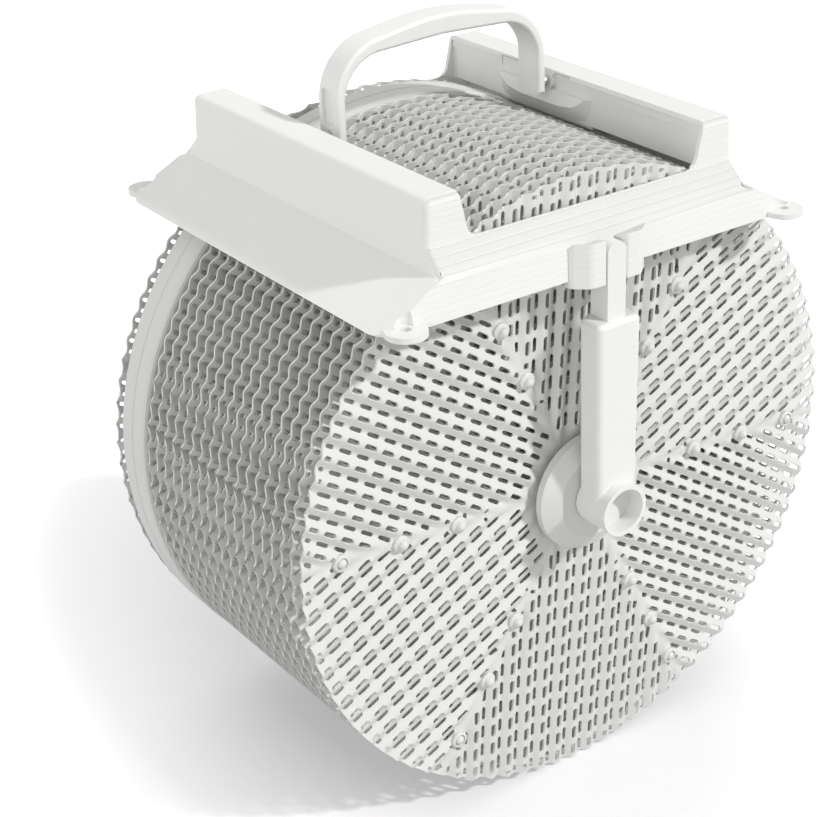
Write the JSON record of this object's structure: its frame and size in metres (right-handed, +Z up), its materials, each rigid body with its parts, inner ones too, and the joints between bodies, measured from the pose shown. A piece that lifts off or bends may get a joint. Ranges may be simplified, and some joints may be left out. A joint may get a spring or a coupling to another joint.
{
  "type": "rotating disc filter pack",
  "caption": "Pack of corrugated slotted filter discs and a hollow wheel on one axle, hung from a saddle frame with corner ears and a folding carry handle.",
  "frame": {"origin": "middle of the four ear holes, on the underside of the ears", "axes": "+Z up, +Y along the drum's axle from the front hanger to the rear hanger, X across the frame"},
  "size_m": [0.2986, 0.241, 0.3459],
  "materials": {
    "frame_plastic": "fine moulded",
    "disc_plastic": "fine moulded",
    "wheel_plastic": "fine moulded",
    "handle_plastic": "fine moulded",
    "flange_plastic": "fine moulded",
    "core_plastic": "fine moulded",
    "bush_plastic": "fine moulded",
    "steel_pins": "turned",
    "steel_shaft": "ground"
  },
  "bodies": {
    "frame": {"saddle_frame": "frame_plastic", "front_hanger": "frame_plastic", "rear_hanger": "frame_plastic", "front_bush": "bush_plastic", "rear_bush": "bush_plastic", "left_handle_pin": "steel_pins", "right_handle_pin": "steel_pins"},
    "drum": {"axle": "steel_shaft", "core_tube": "core_plastic", "front_flange": "flange_plastic", "rear_flange": "flange_plastic", "wheel_front_half": "wheel_plastic", "wheel_rear_half": "wheel_plastic", "wheel_screws": "steel_pins", "wheel_spacer": "core_plastic", "rear_sleeve": "core_plastic", "disc_01": "disc_plastic", "disc_02": "disc_plastic", "disc_03": "disc_plastic", "disc_04": "disc_plastic", "disc_05": "disc_plastic", "disc_06": "disc_plastic", "disc_07": "disc_plastic", "disc_08": "disc_plastic", "disc_09": "disc_plastic", "disc_10": "disc_plastic", "disc_11": "disc_plastic", "disc_12": "disc_plastic", "disc_13": "disc_plastic", "disc_14": "disc_plastic", "disc_15": "disc_plastic", "disc_16": "disc_plastic", "disc_17": "disc_plastic", "disc_18": "disc_plastic", "disc_19": "disc_plastic"},
    "handle": {"carry_handle": "handle_plastic"}
  },
  "joints": [
    {"name": "drum_spin", "type": "hinge", "parent": "frame", "child": "drum", "pos_m": [0, 0, -0.11], "axis": [0, -1, 0], "continuous": true},
    {"name": "handle_fold", "type": "hinge", "parent": "frame", "child": "handle", "pos_m": [0, 0.0142, 0.0415], "axis": [1, 0, 0], "range_deg": [-65, 65]}
  ]
}
